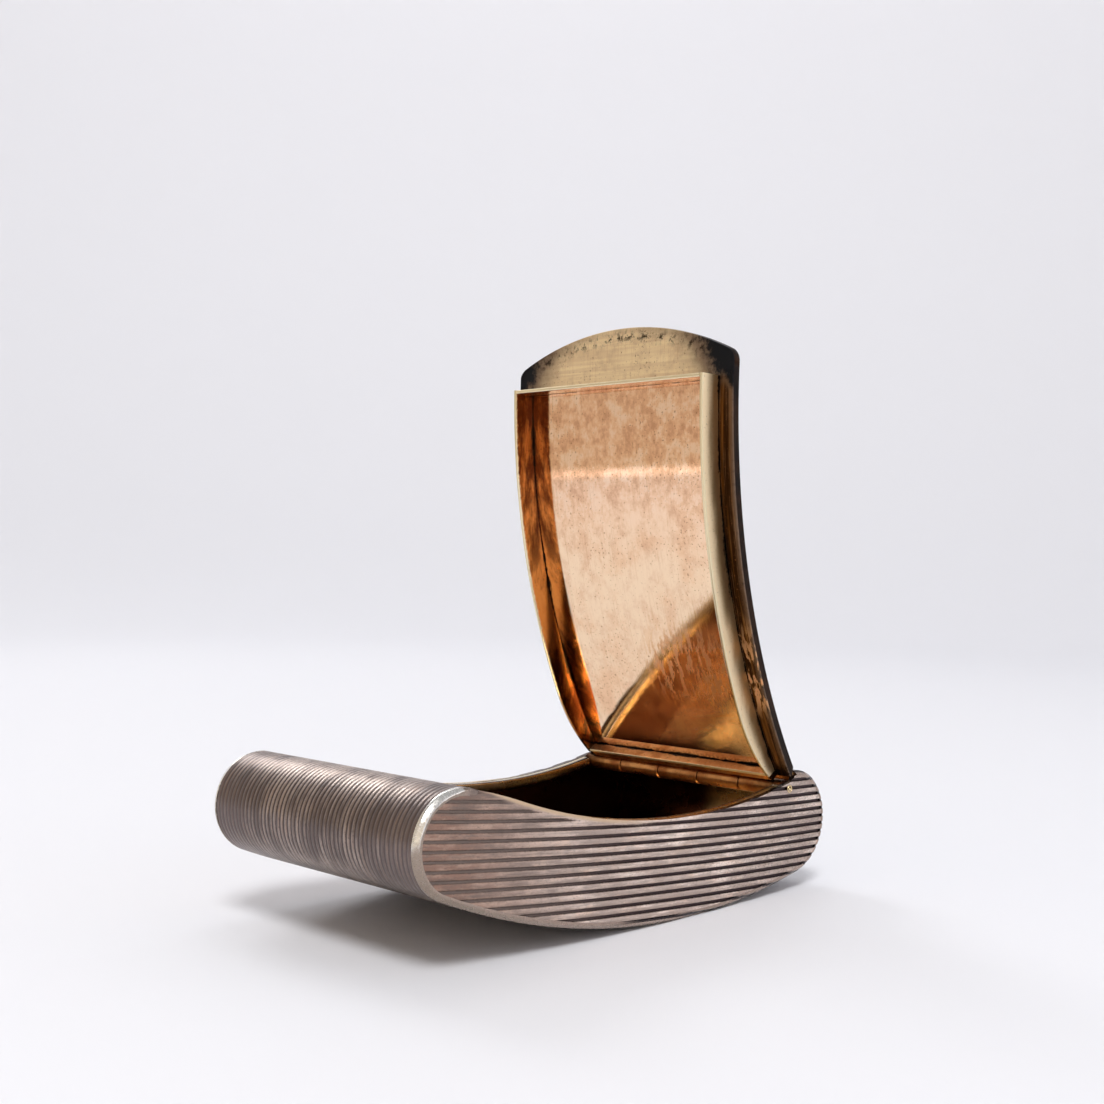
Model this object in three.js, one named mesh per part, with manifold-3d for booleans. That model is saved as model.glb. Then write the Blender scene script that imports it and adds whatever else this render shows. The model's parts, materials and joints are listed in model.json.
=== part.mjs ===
// A silver snuff box, curved to lie against the body in a waistcoat pocket. One bent band makes the round
// front end, the bottom and the round rear end, and two reeded plates close the sides. The lid turns on a
// five-knuckle hinge let into the rear end, and its bezel drops inside the mouth with a friction fit.
//
// Lengths are millimetres. +X runs from the thumb lip to the hinge, +Y to the left side and +Z up.
// The origin is the middle of the flat that the box rests on, as it stands with its lid open.

import * as THREE from 'three';
import { mergeVertices } from 'three/addons/utils/BufferGeometryUtils.js';
import Module from 'manifold-3d';

// Body
const bodyLength = 80.2; // straight, from front tip to rear tip
const bodyWidth = 40.2; // over the reeded side faces
const rimRadius = 101.6; // concave rim of the mouth, about the centre of curvature
const bodyDepth = 13.9; // from the rim to the bottom
const frontDrop = 0.6; // the front end's crest lies this much below the curve of the rim
const shoulder = 7; // length over which the rim runs down to that crest
const bandWall = 0.65; // sheet of the bent band
const sideWall = 0.9; // side plates and border wires
const borderWidth = 0.9; // plain border round each side face
const borderChamfer = 0.75; // flat that breaks the border's outer corner
const restFlat = 8; // length of the flat worn on the bottom
const restTilt = THREE.MathUtils.degToRad(5); // how far the open lid tips the box back

// Reeds on the side faces
const reedPitch = 1.14;
const reedGroove = 0.44; // width of the groove between two reeds
const reedDepth = 0.28;
const reedSag = 0.9; // how far the middle of a reed hangs below its ends

// Rim of the mouth
const railDepth = 1.6; // strips that stiffen the sides of the mouth
const railSetback = 2.4; // from the front end's centre back to their front ends
const frontRailWidth = 1.6;
const frontRailDepth = 1;

// Lid
const lidThickness = 1.25;
const lidOverhang = 0.95; // from the front end's centre to where the lip's bow leaves the sides
const lipBow = 4.8; // how far the bow stands out beyond that
const lipCornerRadius = 2;
const lidOpen = THREE.MathUtils.degToRad(68.2); // how far the lid stands open

// Bezel under the lid
const bezelWall = 0.5;
const bezelHeight = 3.6;
const bezelRearHeight = 1.75;
const bezelTaper = 12; // length over which the side strips come down to the rear strip
const bezelSideLedge = 2.35; // plain ledge of the lid outside the side strips
const bezelFrontLedge = 3.05; // from where the bow leaves the sides back to the front strip
const bezelRearSetback = 2.4; // from the hinge axis to the rear strip

// Hinge
const hingeDrop = 0.9; // axis below the rim
const hingeSetback = 0.6; // axis ahead of the rear end's centre
const knuckleRadius = 1.25;
const knuckleCount = 5;
const pinRadius = 0.55;
const plugRadius = 0.65; // gold plugs that close the pin's holes in the sides
const bearerWidth = 1.5; // bar behind the knuckles, under the band
const bearerDepth = 0.6; // how far it reaches below the axis
const lidRailHeight = 1.3; // bar under the lid, between the bezel and the knuckles

// Clearances
const solderSeam = 0.05; // soldered joints between curved pieces
const lidSeat = 0.1; // between the rim and the closed lid
const bezelFit = 0.15; // between the bezel and the mouth
const knuckleGap = 0.2; // between knuckles, and between a knuckle and the bar that carries it
const pinClearance = 0.05; // running clearance of the pin
const cutOverrun = 1; // how far a cutting solid passes the faces that it cuts

// Facets
const arcSteps = 24;
const endSteps = 16;
const reedSteps = 8;
const shortSteps = 3;
const roundSides = 16;

const wasm = await Module();
wasm.setup();

// Side view: x and z about the centre of curvature. A direction is an angle from straight down,
// positive to the rear, so the front of the box has negative angles.
const heading = (angle) => new THREE.Vector2(Math.sin(angle), -Math.cos(angle));
const along = (centre, radius, angle) => heading(angle).multiplyScalar(radius).add(centre);
const headingOf = (point, centre) => Math.atan2(point.x - centre.x, centre.y - point.y);

const curveCentre = new THREE.Vector2(0, 0);
const bottomRadius = rimRadius + bodyDepth;
const crestRadius = rimRadius - lidSeat - lidThickness; // rear end stands flush with the closed lid
const frontRadius = (bodyDepth - frontDrop) / 2;
const rearRadius = (bottomRadius - crestRadius) / 2;
const frontAngle = -Math.asin((bodyLength / 2 - frontRadius) / (bottomRadius - frontRadius));
const rearAngle = Math.asin((bodyLength / 2 - rearRadius) / (bottomRadius - rearRadius));
const frontCentre = along(curveCentre, bottomRadius - frontRadius, frontAngle);
const rearCentre = along(curveCentre, bottomRadius - rearRadius, rearAngle);
const innerWidth = bodyWidth - 2 * sideWall;

// Hinge axis, with a unit vector to the rear and one towards the lid
const hingeAngle = rearAngle - hingeSetback / rimRadius;
const hinge = along(curveCentre, rimRadius + hingeDrop, hingeAngle);
const toLid = heading(hingeAngle).negate();
const toRear = new THREE.Vector2(-heading(hingeAngle).y, heading(hingeAngle).x);
const byHinge = (rear, up) => hinge.clone().addScaledVector(toRear, rear).addScaledVector(toLid, up);
const knuckleReach = knuckleRadius + knuckleGap;

function arc(centre, radius, from, to, steps) {
  const point = (_, i) => along(centre, radius, from + ((to - from) * i) / steps);
  return Array.from({ length: steps + 1 }, point);
}

// Where a straight line from the start first meets a circle
function meetLine(start, direction, centre, radius) {
  const offset = start.clone().sub(centre);
  const half = offset.dot(direction);
  const root = Math.sqrt(half * half - offset.lengthSq() + radius * radius);
  const distance = -half - root > 0 ? -half - root : -half + root;
  return start.clone().addScaledVector(direction, distance);
}

// Heading on the front end's circle at which a point lies at the given reach from the hinge
function headingAtReach(radius, reach) {
  const span = frontCentre.distanceTo(hinge);
  const cosine = (span * span + radius * radius - reach * reach) / (2 * span * radius);
  return headingOf(hinge, frontCentre) + Math.acos(cosine) - 2 * Math.PI;
}

// The lid and the rear end are mitred at 45 degrees to the hinge axis, so the lid can stand upright
const mitre = toRear.clone().add(toLid).normalize();
const mitreOnRear = (radius) => meetLine(hinge, mitre, rearCentre, radius);
const mitreFoot = meetLine(hinge, mitre, curveCentre, rimRadius);

// Mouth: its front edge clears the tip of the bezel's front strip as the lid swings shut
const lidInner = rimRadius - lidSeat;
const bowAngle = frontAngle - lidOverhang / rimRadius;
const bezelFrontAngle = bowAngle + bezelFrontLedge / rimRadius;
const bezelTip = along(curveCentre, lidInner + bezelHeight, bezelFrontAngle);
const mouthReach = bezelTip.distanceTo(hinge) + bezelFit;

// Front end, bottom and rear end, set in from the outside by the given distance
function underside(inset, frontHeading) {
  const front = arc(frontCentre, frontRadius - inset, frontHeading, frontAngle, endSteps);
  const bottom = arc(curveCentre, bottomRadius - inset, frontAngle, rearAngle, arcSteps);
  const rearEnd = headingOf(mitreOnRear(rearRadius - inset), rearCentre);
  const rear = arc(rearCentre, rearRadius - inset, rearAngle, rearEnd + 2 * Math.PI, endSteps);
  return [...front, ...bottom.slice(1), ...rear.slice(1)];
}

// The same on the outside, with a flat at the heading on which the box rests
const flatAngle = Math.asin(restFlat / 2 / bottomRadius);
function outside(frontHeading) {
  const clear = (point) => Math.abs(headingOf(point, curveCentre) - restTilt) > flatAngle;
  const points = underside(0, frontHeading).filter(clear);
  const ends = [restTilt - flatAngle, restTilt + flatAngle];
  const flat = ends.map((angle) => along(curveCentre, bottomRadius, angle));
  const after = points.findIndex((point) => headingOf(point, curveCentre) > restTilt && point.x > 0);
  return [...points.slice(0, after), ...flat, ...points.slice(after)];
}

// The rim, or a line below it, from one heading forward to another. It runs down to the front end's crest.
function rimLine(rear, front, depth) {
  const point = (_, i) => {
    const angle = THREE.MathUtils.lerp(rear, front, i / arcSteps);
    const share = Math.max(0, 1 - ((angle - frontAngle) * rimRadius) / shoulder);
    return along(curveCentre, rimRadius + depth + frontDrop * share * share, angle);
  };
  return Array.from({ length: arcSteps + 1 }, point);
}
const mitreHeading = headingOf(mitreFoot, curveCentre);
const frontEdge = frontAngle + solderSeam / rimRadius;


// Solids
const xAxis = new THREE.Vector3(1, 0, 0);
const yAxis = new THREE.Vector3(0, 1, 0);
const zAxis = new THREE.Vector3(0, 0, 1);

// A side-view outline carried across the box from one y to another
function across(outline, yLow, yHigh, options = {}) {
  const shape = outline instanceof THREE.Shape ? outline : new THREE.Shape(outline);
  const settings = { depth: yHigh - yLow, bevelEnabled: false, ...options };
  const geometry = new THREE.ExtrudeGeometry(shape, settings);
  const turn = new THREE.Matrix4().makeBasis(xAxis, zAxis, yAxis.clone().negate());
  return geometry.applyMatrix4(turn.setPosition(0, yHigh, 0));
}

function solidOf(geometry) {
  const bare = geometry.clone();
  bare.deleteAttribute('normal');
  bare.deleteAttribute('uv');
  const merged = mergeVertices(bare, 1e-5);
  const vertProperties = new Float32Array(merged.attributes.position.array);
  const triVerts = new Uint32Array(merged.index.array);
  return new wasm.Manifold(new wasm.Mesh({ numProp: 3, vertProperties, triVerts }));
}

function geometryOf(solid) {
  const mesh = solid.getMesh();
  const geometry = new THREE.BufferGeometry();
  geometry.setAttribute('position', new THREE.BufferAttribute(mesh.vertProperties, 3));
  geometry.setIndex(new THREE.BufferAttribute(mesh.triVerts, 1));
  const flat = geometry.toNonIndexed();
  flat.computeVertexNormals();
  return flat;
}

// Materials
const reededSilver = { color: 0x93837a, roughness: 0.45, metalness: 1 };
const plainSilver = { color: 0xcdbfb2, roughness: 0.35, metalness: 1 };
const brightGilt = { color: 0xe3bf8d, roughness: 0.25, metalness: 1 };
const darkGilt = { color: 0xa8713a, roughness: 0.4, metalness: 1 };

const box = new THREE.Group();
const lid = new THREE.Group();

function place(group, name, geometry, finish) {
  const mesh = new THREE.Mesh(geometry, new THREE.MeshStandardMaterial(finish));
  mesh.name = name;
  group.add(mesh);
}

// Lid pieces are drawn shut, about the centre of curvature, and then hung on the hinge axis
function placeOnLid(name, geometry, finish) {
  place(lid, name, geometry.translate(-hinge.x, 0, -hinge.y), finish);
}

// Band: one sheet from the mouth's front edge round to the mitre above the hinge
function band() {
  const outer = outside(headingAtReach(frontRadius, mouthReach));
  const inner = underside(bandWall, headingAtReach(frontRadius - bandWall, mouthReach));
  return across([...outer, ...inner.reverse()], -innerWidth / 2, innerWidth / 2);
}
place(box, 'body_band', band(), reededSilver);

const sides = [
  { name: 'right', sign: -1 },
  { name: 'left', sign: 1 },
];

// A span of y measured inwards from one side face
function fromSide(sign, near, far) {
  const ends = [sign * (bodyWidth / 2 - near), sign * (bodyWidth / 2 - far)];
  return ends.sort((a, b) => a - b);
}

// Border wire: a chamfered ring on the corner between the side face and the band, open along the rim
function borderWire(sign) {
  const crest = frontAngle - Math.PI;
  const outline = [...outside(crest), ...rimLine(mitreHeading, frontEdge, 0)];
  const chamfer = {
    bevelEnabled: true,
    bevelThickness: borderChamfer,
    bevelSize: borderChamfer,
    bevelOffset: -borderChamfer,
    bevelSegments: 1,
  };
  const [low, high] = fromSide(sign, borderChamfer, borderChamfer + sideWall);
  const slab = solidOf(across(outline, low, high, chamfer));
  const hole = underside(borderWidth, crest);
  hole.push(along(curveCentre, crestRadius - cutOverrun, hingeAngle));
  hole.push(along(curveCentre, crestRadius - cutOverrun, frontAngle));
  const opening = solidOf(across(hole, -bodyWidth, bodyWidth));
  const half = [
    new THREE.Vector2(-bodyLength, -2 * bottomRadius),
    new THREE.Vector2(bodyLength, -2 * bottomRadius),
    new THREE.Vector2(bodyLength, 0),
    new THREE.Vector2(-bodyLength, 0),
  ];
  const keep = solidOf(across(half, ...fromSide(sign, -cutOverrun, sideWall)));
  return geometryOf(slab.subtract(opening).intersect(keep));
}

// Side plate: a sheet with V grooves between its reeds, cut to the outline inside the border wire
function reededSheet(sign) {
  const face = sign * (bodyWidth / 2);
  const back = sign * (bodyWidth / 2 - sideWall);
  const root = sign * (bodyWidth / 2 - reedDepth);
  const top = -rimRadius * Math.cos(frontAngle) + reedPitch;
  const count = Math.ceil((top + bottomRadius + reedSag) / reedPitch);
  const profile = [new THREE.Vector2(back, top), new THREE.Vector2(face, top)];
  for (let i = 1; i <= count; i += 1) {
    const middle = top - i * reedPitch;
    profile.push(new THREE.Vector2(face, middle + reedGroove / 2));
    profile.push(new THREE.Vector2(root, middle));
    profile.push(new THREE.Vector2(face, middle - reedGroove / 2));
  }
  const bottom = top - (count + 1) * reedPitch;
  profile.push(new THREE.Vector2(face, bottom), new THREE.Vector2(back, bottom));
  const settings = { depth: bodyLength, steps: reedSteps, bevelEnabled: false };
  const sheet = new THREE.ExtrudeGeometry(new THREE.Shape(profile), settings);
  sheet.applyMatrix4(new THREE.Matrix4().makeBasis(yAxis, zAxis, xAxis));
  sheet.translate(-bodyLength / 2, 0, 0);
  const position = sheet.attributes.position;
  for (let i = 0; i < position.count; i += 1) {
    const share = (2 * position.getX(i)) / bodyLength;
    position.setZ(i, position.getZ(i) - reedSag * (1 - share * share));
  }
  return solidOf(sheet);
}

function sidePlate(sign) {
  const inset = borderWidth + solderSeam;
  const outline = underside(inset, frontAngle - Math.PI).slice(1);
  outline.push(...rimLine(mitreHeading, frontEdge, 0));
  outline.push(along(curveCentre, bottomRadius - 2 * frontRadius + inset, frontEdge));
  const shape = new THREE.Shape(outline);
  const holeRadius = (plugRadius + solderSeam) / Math.cos(Math.PI / roundSides);
  shape.holes.push(new THREE.Path(arc(hinge, holeRadius, 0, 2 * Math.PI, roundSides).slice(1)));
  const [low, high] = fromSide(sign, -cutOverrun, sideWall + cutOverrun);
  return geometryOf(reededSheet(sign).intersect(solidOf(across(shape, low, high))));
}

// Rim rail: a strip along the top of the side, out to where the bezel passes
const railInner = bezelSideLedge - bezelFit;
function rimRail(sign) {
  const rear = hingeAngle - knuckleReach / rimRadius;
  const front = frontAngle + railSetback / rimRadius;
  const outline = [...rimLine(rear, front, 0), ...rimLine(rear, front, railDepth).reverse()];
  return across(outline, ...fromSide(sign, sideWall, railInner));
}

for (const { name, sign } of sides) {
  place(box, `border_wire_${name}`, borderWire(sign), plainSilver);
  place(box, `side_plate_${name}`, sidePlate(sign), reededSilver);
  place(box, `rim_rail_${name}`, rimRail(sign), brightGilt);
}

// Front rail: a strip under the band's front edge, between the rim rails
function frontRail() {
  const near = bandWall + solderSeam;
  const edge = (inset) => {
    const radius = frontRadius - inset;
    const start = headingAtReach(radius, mouthReach);
    return arc(frontCentre, radius, start, start + frontRailWidth / radius, shortSteps);
  };
  const outline = [...edge(near), ...edge(near + frontRailDepth).reverse()];
  const half = bodyWidth / 2 - railInner;
  return across(outline, -half, half);
}
place(box, 'rim_rail_front', frontRail(), brightGilt);

// Hinge bearer: a bar behind the knuckles, under the band's rear edge
function hingeBearer() {
  const radius = rearRadius - bandWall - solderSeam;
  const far = knuckleReach + bearerWidth;
  const top = (rear) => meetLine(byHinge(rear, -bearerDepth), toLid, rearCentre, radius);
  const outline = [byHinge(knuckleReach, -bearerDepth), byHinge(far, -bearerDepth), top(far)];
  outline.push(top((knuckleReach + far) / 2), mitreOnRear(radius), byHinge(knuckleReach, knuckleReach));
  return across(outline, -innerWidth / 2, innerWidth / 2);
}
place(box, 'hinge_bearer', hingeBearer(), darkGilt);

// Hinge: knuckles in a row between the side plates, the odd ones on the body and the even ones on the lid
const knuckleLength = (innerWidth - (knuckleCount - 1) * knuckleGap) / knuckleCount;
function knuckle(index) {
  const shape = new THREE.Shape(arc(hinge, knuckleRadius, 0, 2 * Math.PI, roundSides).slice(1));
  const boreRadius = (pinRadius + pinClearance) / Math.cos(Math.PI / roundSides);
  shape.holes.push(new THREE.Path(arc(hinge, boreRadius, 0, 2 * Math.PI, roundSides).slice(1)));
  const low = -innerWidth / 2 + index * (knuckleLength + knuckleGap);
  return across(shape, low, low + knuckleLength);
}
for (let index = 0; index < knuckleCount; index += 1) {
  const name = `knuckle_${index + 1}`;
  if (index % 2 === 0) place(box, `body_${name}`, knuckle(index), darkGilt);
  else placeOnLid(`lid_${name}`, knuckle(index), darkGilt);
}

const disc = (radius) => arc(hinge, radius, 0, 2 * Math.PI, roundSides).slice(1);
place(box, 'hinge_pin', across(disc(pinRadius), -innerWidth / 2, innerWidth / 2), plainSilver);
for (const { name, sign } of sides) {
  const plug = across(disc(plugRadius), ...fromSide(sign, 0, sideWall));
  place(box, `pin_plug_${name}`, plug, brightGilt);
}

// Lid plate: a curved sheet with mitred rear edge, cut in plan to the bowed thumb lip
function lipPlan() {
  const half = bodyWidth / 2;
  const bowRadius = (half * half + lipBow * lipBow) / (2 * lipBow);
  const bowCentre = bowRadius - lipBow;
  const cornerY = half - lipCornerRadius;
  const reach = bowRadius - lipCornerRadius;
  const corner = bowCentre - Math.sqrt(reach * reach - cornerY * cornerY);
  const spread = Math.asin(cornerY / reach);
  const plan = new THREE.Shape();
  plan.moveTo(bodyLength, -half);
  plan.lineTo(bodyLength, half);
  plan.absarc(corner, cornerY, lipCornerRadius, Math.PI / 2, Math.PI - spread);
  plan.absarc(bowCentre, 0, bowRadius, Math.PI - spread, Math.PI + spread);
  plan.absarc(corner, -cornerY, lipCornerRadius, Math.PI + spread, (3 * Math.PI) / 2);
  return plan;
}

function lidPlate() {
  const lidOuter = lidInner - lidThickness;
  const front = bowAngle - (lipBow + cutOverrun) / rimRadius;
  const rear = hingeAngle - knuckleReach / rimRadius;
  const bevel = byHinge(-knuckleReach, knuckleReach);
  const lidMitre = toLid.clone().sub(toRear).normalize();
  const bevelTop = meetLine(hinge, lidMitre, curveCentre, lidOuter);
  const outline = arc(curveCentre, lidInner, front, rear, arcSteps);
  outline.push(bevel, ...arc(curveCentre, lidOuter, headingOf(bevelTop, curveCentre), front, arcSteps));
  const half = bodyWidth / 2 + cutOverrun;
  const sheet = solidOf(across(outline, -half, half));
  const settings = { depth: 2 * bodyLength, curveSegments: endSteps, bevelEnabled: false };
  const plan = new THREE.ExtrudeGeometry(lipPlan(), settings);
  const bowFoot = along(curveCentre, rimRadius, bowAngle);
  plan.translate(0, 0, -bodyLength).rotateY(-bowAngle).translate(bowFoot.x, 0, bowFoot.y);
  return geometryOf(sheet.intersect(solidOf(plan)));
}
placeOnLid('lid_plate', lidPlate(), brightGilt);

// Bezel: four strips standing on the lid's inner face
const bezelRoot = lidInner + solderSeam;
const bezelRearAngle = hingeAngle - bezelRearSetback / rimRadius;
const bezelInnerHalf = bodyWidth / 2 - bezelSideLedge - bezelWall;

function bezelSide(sign) {
  const taperAngle = bezelRearAngle - bezelTaper / rimRadius;
  const outline = [...arc(curveCentre, lidInner + bezelHeight, bezelFrontAngle, taperAngle, arcSteps)];
  for (const point of arc(curveCentre, 1, taperAngle, bezelRearAngle, endSteps).slice(1)) {
    const angle = headingOf(point, curveCentre);
    const share = (angle - taperAngle) / (bezelRearAngle - taperAngle);
    const height = THREE.MathUtils.lerp(bezelHeight, bezelRearHeight, share * share);
    outline.push(along(curveCentre, lidInner + height, angle));
  }
  outline.push(...arc(curveCentre, bezelRoot, bezelRearAngle, bezelFrontAngle, arcSteps));
  return across(outline, ...fromSide(sign, bezelSideLedge, bezelSideLedge + bezelWall));
}

function bezelEnd(from, height) {
  const to = from + bezelWall / rimRadius;
  const outline = [along(curveCentre, bezelRoot, from), along(curveCentre, lidInner + height, from)];
  outline.push(along(curveCentre, lidInner + height, to), along(curveCentre, bezelRoot, to));
  return across(outline, -bezelInnerHalf, bezelInnerHalf);
}

for (const { name, sign } of sides) placeOnLid(`bezel_${name}`, bezelSide(sign), brightGilt);
placeOnLid('bezel_front', bezelEnd(bezelFrontAngle, bezelHeight), brightGilt);
const bezelRearFront = bezelRearAngle - bezelWall / rimRadius;
placeOnLid('bezel_rear', bezelEnd(bezelRearFront, bezelRearHeight), darkGilt);

// Lid rail: a bar under the lid's rear edge that carries the lid's knuckles
function lidRail() {
  const front = bezelRearAngle + solderSeam / rimRadius;
  const rear = hingeAngle - knuckleReach / rimRadius;
  const outline = arc(curveCentre, bezelRoot, rear, front, shortSteps);
  outline.push(...arc(curveCentre, bezelRoot + lidRailHeight, front, rear, shortSteps));
  const half = bodyWidth / 2 - bezelSideLedge;
  return across(outline, -half, half);
}
placeOnLid('lid_hinge_rail', lidRail(), darkGilt);

// The lid hangs on the hinge axis, and the whole box is tipped back onto its flat
lid.position.set(hinge.x, 0, hinge.y);
lid.rotation.y = lidOpen;
box.add(lid);
box.rotation.y = restTilt;
box.position.z = bottomRadius * Math.cos(flatAngle);

const snuffBox = new THREE.Group();
snuffBox.add(box);

export default snuffBox;
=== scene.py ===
import json
from math import radians

import bmesh
import bpy
import numpy as np
from mathutils import Matrix, Vector


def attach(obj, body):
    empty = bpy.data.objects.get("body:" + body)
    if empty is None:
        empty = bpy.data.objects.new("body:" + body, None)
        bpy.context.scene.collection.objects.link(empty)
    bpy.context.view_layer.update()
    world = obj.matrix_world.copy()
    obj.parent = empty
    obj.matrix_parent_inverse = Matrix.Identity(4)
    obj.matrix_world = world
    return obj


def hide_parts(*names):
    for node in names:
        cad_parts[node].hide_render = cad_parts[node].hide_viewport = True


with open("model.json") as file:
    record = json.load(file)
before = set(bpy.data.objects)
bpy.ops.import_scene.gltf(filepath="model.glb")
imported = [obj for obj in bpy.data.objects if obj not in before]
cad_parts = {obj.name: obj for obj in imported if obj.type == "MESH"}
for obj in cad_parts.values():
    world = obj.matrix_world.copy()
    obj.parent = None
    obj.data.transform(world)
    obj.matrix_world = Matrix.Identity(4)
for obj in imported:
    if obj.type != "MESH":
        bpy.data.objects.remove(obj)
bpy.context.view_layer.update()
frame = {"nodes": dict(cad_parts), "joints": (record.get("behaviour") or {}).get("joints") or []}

# Camera
# It stands low, in front of the box's right-hand corner at the thumb-lip end, as the photograph's did.
# The photograph's optical axis passes below its middle, so the lens is shifted.
photo_side = 1104  # pixels, and so are the next two
focal_length = 1435.3
axis_row = 708.7
camera_place = (-0.14978, -0.13776, 0.04729)
camera_yaw = radians(45.96)
camera_pitch = radians(5.87)
camera_roll = radians(1.13)
nearest_seen = 0.005


def camera_matrix(place, yaw, pitch, roll):
    """Yaw turns the view from +Y towards +X, pitch tips it down, and roll turns the picture about the
    view."""
    turn = Matrix.Rotation(-yaw, 4, "Z") @ Matrix.Rotation(radians(90) - pitch, 4, "X")
    return Matrix.Translation(place) @ turn @ Matrix.Rotation(roll, 4, "Z")


camera = bpy.data.objects.new("camera", bpy.data.cameras.new("camera"))
bpy.context.scene.collection.objects.link(camera)
camera.matrix_world = camera_matrix(camera_place, camera_yaw, camera_pitch, camera_roll)
camera.data.lens = camera.data.sensor_width * focal_length / photo_side
camera.data.shift_y = axis_row / photo_side - 0.5
camera.data.clip_start = nearest_seen
bpy.context.scene.camera = camera

# Body band
# One strip of silver sheet, bent into the round front end, the bottom and the round rear end, and
# soldered between the side plates. Its outside is cut with fine reeds that run round the bend, and its
# inside is gilt.
MM = 0.001  # lengths below are millimetres
body_length = 80.2
rim_radius = 101.6  # of the mouth, about the centre of curvature
body_depth = 13.9
front_drop = 0.6  # of the front end's crest below the curve of the rim
lid_seat = 0.1
lid_thickness = 1.25
band_wall = 0.65
band_half = 19.2  # half its width
rest_flat = 8  # length of the flat that the box rests on
rest_tilt = radians(5)
lid_overhang = 0.95  # from the front end's centre to where the lip's bow leaves the lid's sides
bezel_front_ledge = 3.05
bezel_height = 3.6
bezel_fit = 0.15
band_reeds = 50
band_reed_depth = 0.07
band_groove = 0.62  # share of the pitch
band_phases = np.array([0, 0.11, 0.21, 0.31, 0.5, 0.69, 0.79, 0.89])  # of the mesh's lines in a reed
groove_floor = 0.35  # width of a groove's floor, as a share of the groove
worn_under = 0.3  # share of the reeds' depth that is left underneath
worn_above = 0.4  # share of the rest that is left on the upward shoulder
middle_wear = 0.5  # how worn the strip is along its middle
rubbed_half = 8  # half the width of that middle
# how much a painted sheen pales the reeds on the upward shoulders, in the worn colour
shoulder_sheen = 0.4
snuff_and_shade_span = (18, 26)  # along the tray, over which old snuff and painted shade set in to the rear
snuff_and_shade_half = 5  # it lies on the left and ends this far past the middle line
weld = 0.0005  # points that lie closer are one
crease = radians(40)  # a sharper corner stays sharp
rim_gilding = (0.66, 0.49, 0.33)
# Nearly black: old snuff, and painted shade deep in the tray, in the plugs' hollows and under the rails.
snuff_and_shade = (0.045, 0.014, 0.006)
skin_bump = 0.000008  # metres

bottom_radius = rim_radius + body_depth
lid_inner = rim_radius - lid_seat
lid_outer = lid_inner - lid_thickness  # the rear end's crest is flush with it
front_end = (body_depth - front_drop) / 2
rear_end = (bottom_radius - lid_outer) / 2
front_angle = -np.arcsin((body_length / 2 - front_end) / (bottom_radius - front_end))
rear_angle = np.arcsin((body_length / 2 - rear_end) / (bottom_radius - rear_end))
floor_drop = np.sqrt(bottom_radius**2 - (rest_flat / 2) ** 2)


def heading(angle):
    """Side-view points are complex numbers about the centre of curvature, with x to the rear and the
    imaginary part up. A heading is a unit step at an angle from straight down, positive to the rear."""
    return -1j * np.exp(1j * np.asarray(angle))


def heading_of(step):
    """The angle from straight down at which a step points."""
    return np.angle(1j * step)


front_centre = (bottom_radius - front_end) * heading(front_angle)
rear_centre = (bottom_radius - rear_end) * heading(rear_angle)
lid_hinge = frame["joints"][0]
hinge_x, _, hinge_z = np.array(lid_hinge["pos_m"]) / MM
hinge = (hinge_x + 1j * (hinge_z - floor_drop)) * np.exp(1j * rest_tilt)
lid_open = radians(-lid_hinge["range_deg"][0])
bow_angle = front_angle - lid_overhang / rim_radius
bezel_front_angle = bow_angle + bezel_front_ledge / rim_radius
bezel_tip = (lid_inner + bezel_height) * heading(bezel_front_angle)
mouth_reach = abs(bezel_tip - hinge) + bezel_fit  # the band's front edge clears the bezel's path


def stood(side, y, on_lid=False):
    """Points in the standing frame: a lid piece is drawn shut and turned open about the hinge, and then
    the whole box is tipped back and lifted onto its flat."""
    if on_lid:
        side = hinge + (side - hinge) * np.exp(-1j * lid_open)
    side = side * np.exp(-1j * rest_tilt) + 1j * floor_drop
    side, y = np.broadcast_arrays(side, y)
    return np.stack([side.real, y, side.imag], -1)


def grid_quads(index):
    """Faces between neighbouring rows and columns of a grid of point numbers."""
    corners = [index[:-1, :-1], index[:-1, 1:], index[1:, 1:], index[1:, :-1]]
    return np.stack(corners, -1).reshape(-1, 4)


def piece(name, points, faces, body, slot, replaced, finishes, face_finish=None, values=None):
    """A smooth closed mesh from points in millimetres, with its creases kept sharp. Values are point
    attributes that its finishes read. Doubled points are merged and the faces turned outwards."""
    mesh = bpy.data.meshes.new(name)
    mesh.from_pydata((points.reshape(-1, 3) * MM).tolist(), [], faces)
    for key, value in (values or {}).items():
        value = np.asarray(value, np.float32)
        kind, field = ("FLOAT_VECTOR", "vector") if value.ndim == 3 else ("FLOAT", "value")
        mesh.attributes.new(key, kind, "POINT").data.foreach_set(field, value.ravel())
    for finish in finishes:
        mesh.materials.append(finish)
    if face_finish is not None:
        mesh.polygons.foreach_set("material_index", np.asarray(face_finish, np.int32))
    skin = bmesh.new()
    skin.from_mesh(mesh)
    bmesh.ops.remove_doubles(skin, verts=skin.verts, dist=weld * MM)
    bmesh.ops.recalc_face_normals(skin, faces=skin.faces)
    skin.to_mesh(mesh)
    skin.free()
    mesh.shade_smooth()
    mesh.set_sharp_from_angle(angle=crease)
    made = bpy.data.objects.new(name, mesh)
    bpy.context.scene.collection.objects.link(made)
    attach(made, body)
    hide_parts(*replaced)
    return made


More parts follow.
